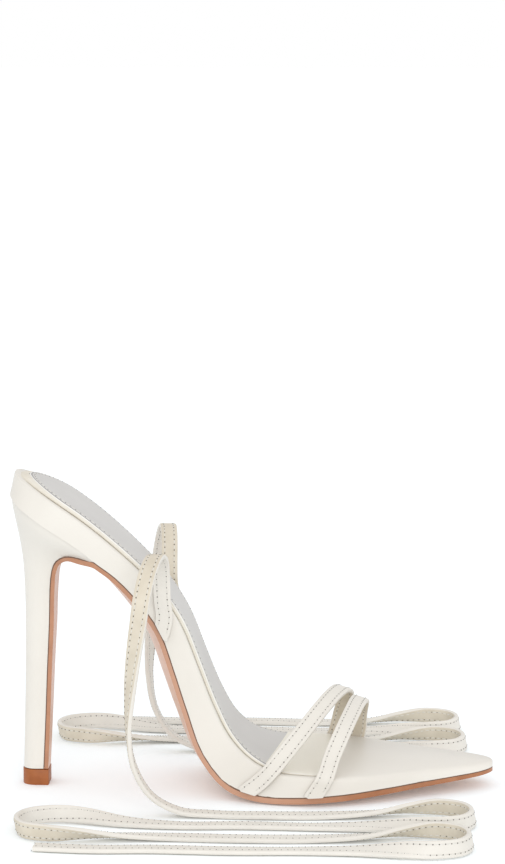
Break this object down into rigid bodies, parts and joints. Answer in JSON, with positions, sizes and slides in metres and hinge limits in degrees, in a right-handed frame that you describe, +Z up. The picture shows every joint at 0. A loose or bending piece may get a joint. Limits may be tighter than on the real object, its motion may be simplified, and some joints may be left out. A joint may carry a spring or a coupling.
{
  "type": "stiletto sandal",
  "caption": "Right-foot off-white leather stiletto sandal with a tan sole, narrow toe straps and long slack ankle ties lying beside it.",
  "frame": {"origin": "middle of the sandal's bounding box on the floor, without the two ankle ties", "axes": "+X runs to the toe, -Y is the outer side of the right foot, +Z is up"},
  "size_m": [0.2013, 0.2236, 0.1331],
  "materials": {
    "brown_rubber": "matt",
    "off_white_leather": "smooth, softly satin",
    "tan_leather": "polished",
    "silver_sock": "satin"
  },
  "bodies": {
    "root": {"top_piece": "brown_rubber", "heel": "off_white_leather", "outsole": "tan_leather", "footbed": "off_white_leather", "insole_sock": "silver_sock", "toe_strap_back": "off_white_leather", "toe_strap_front": "off_white_leather", "ankle_tie_outer": "off_white_leather", "ankle_tie_inner": "off_white_leather"}
  },
  "joints": []
}
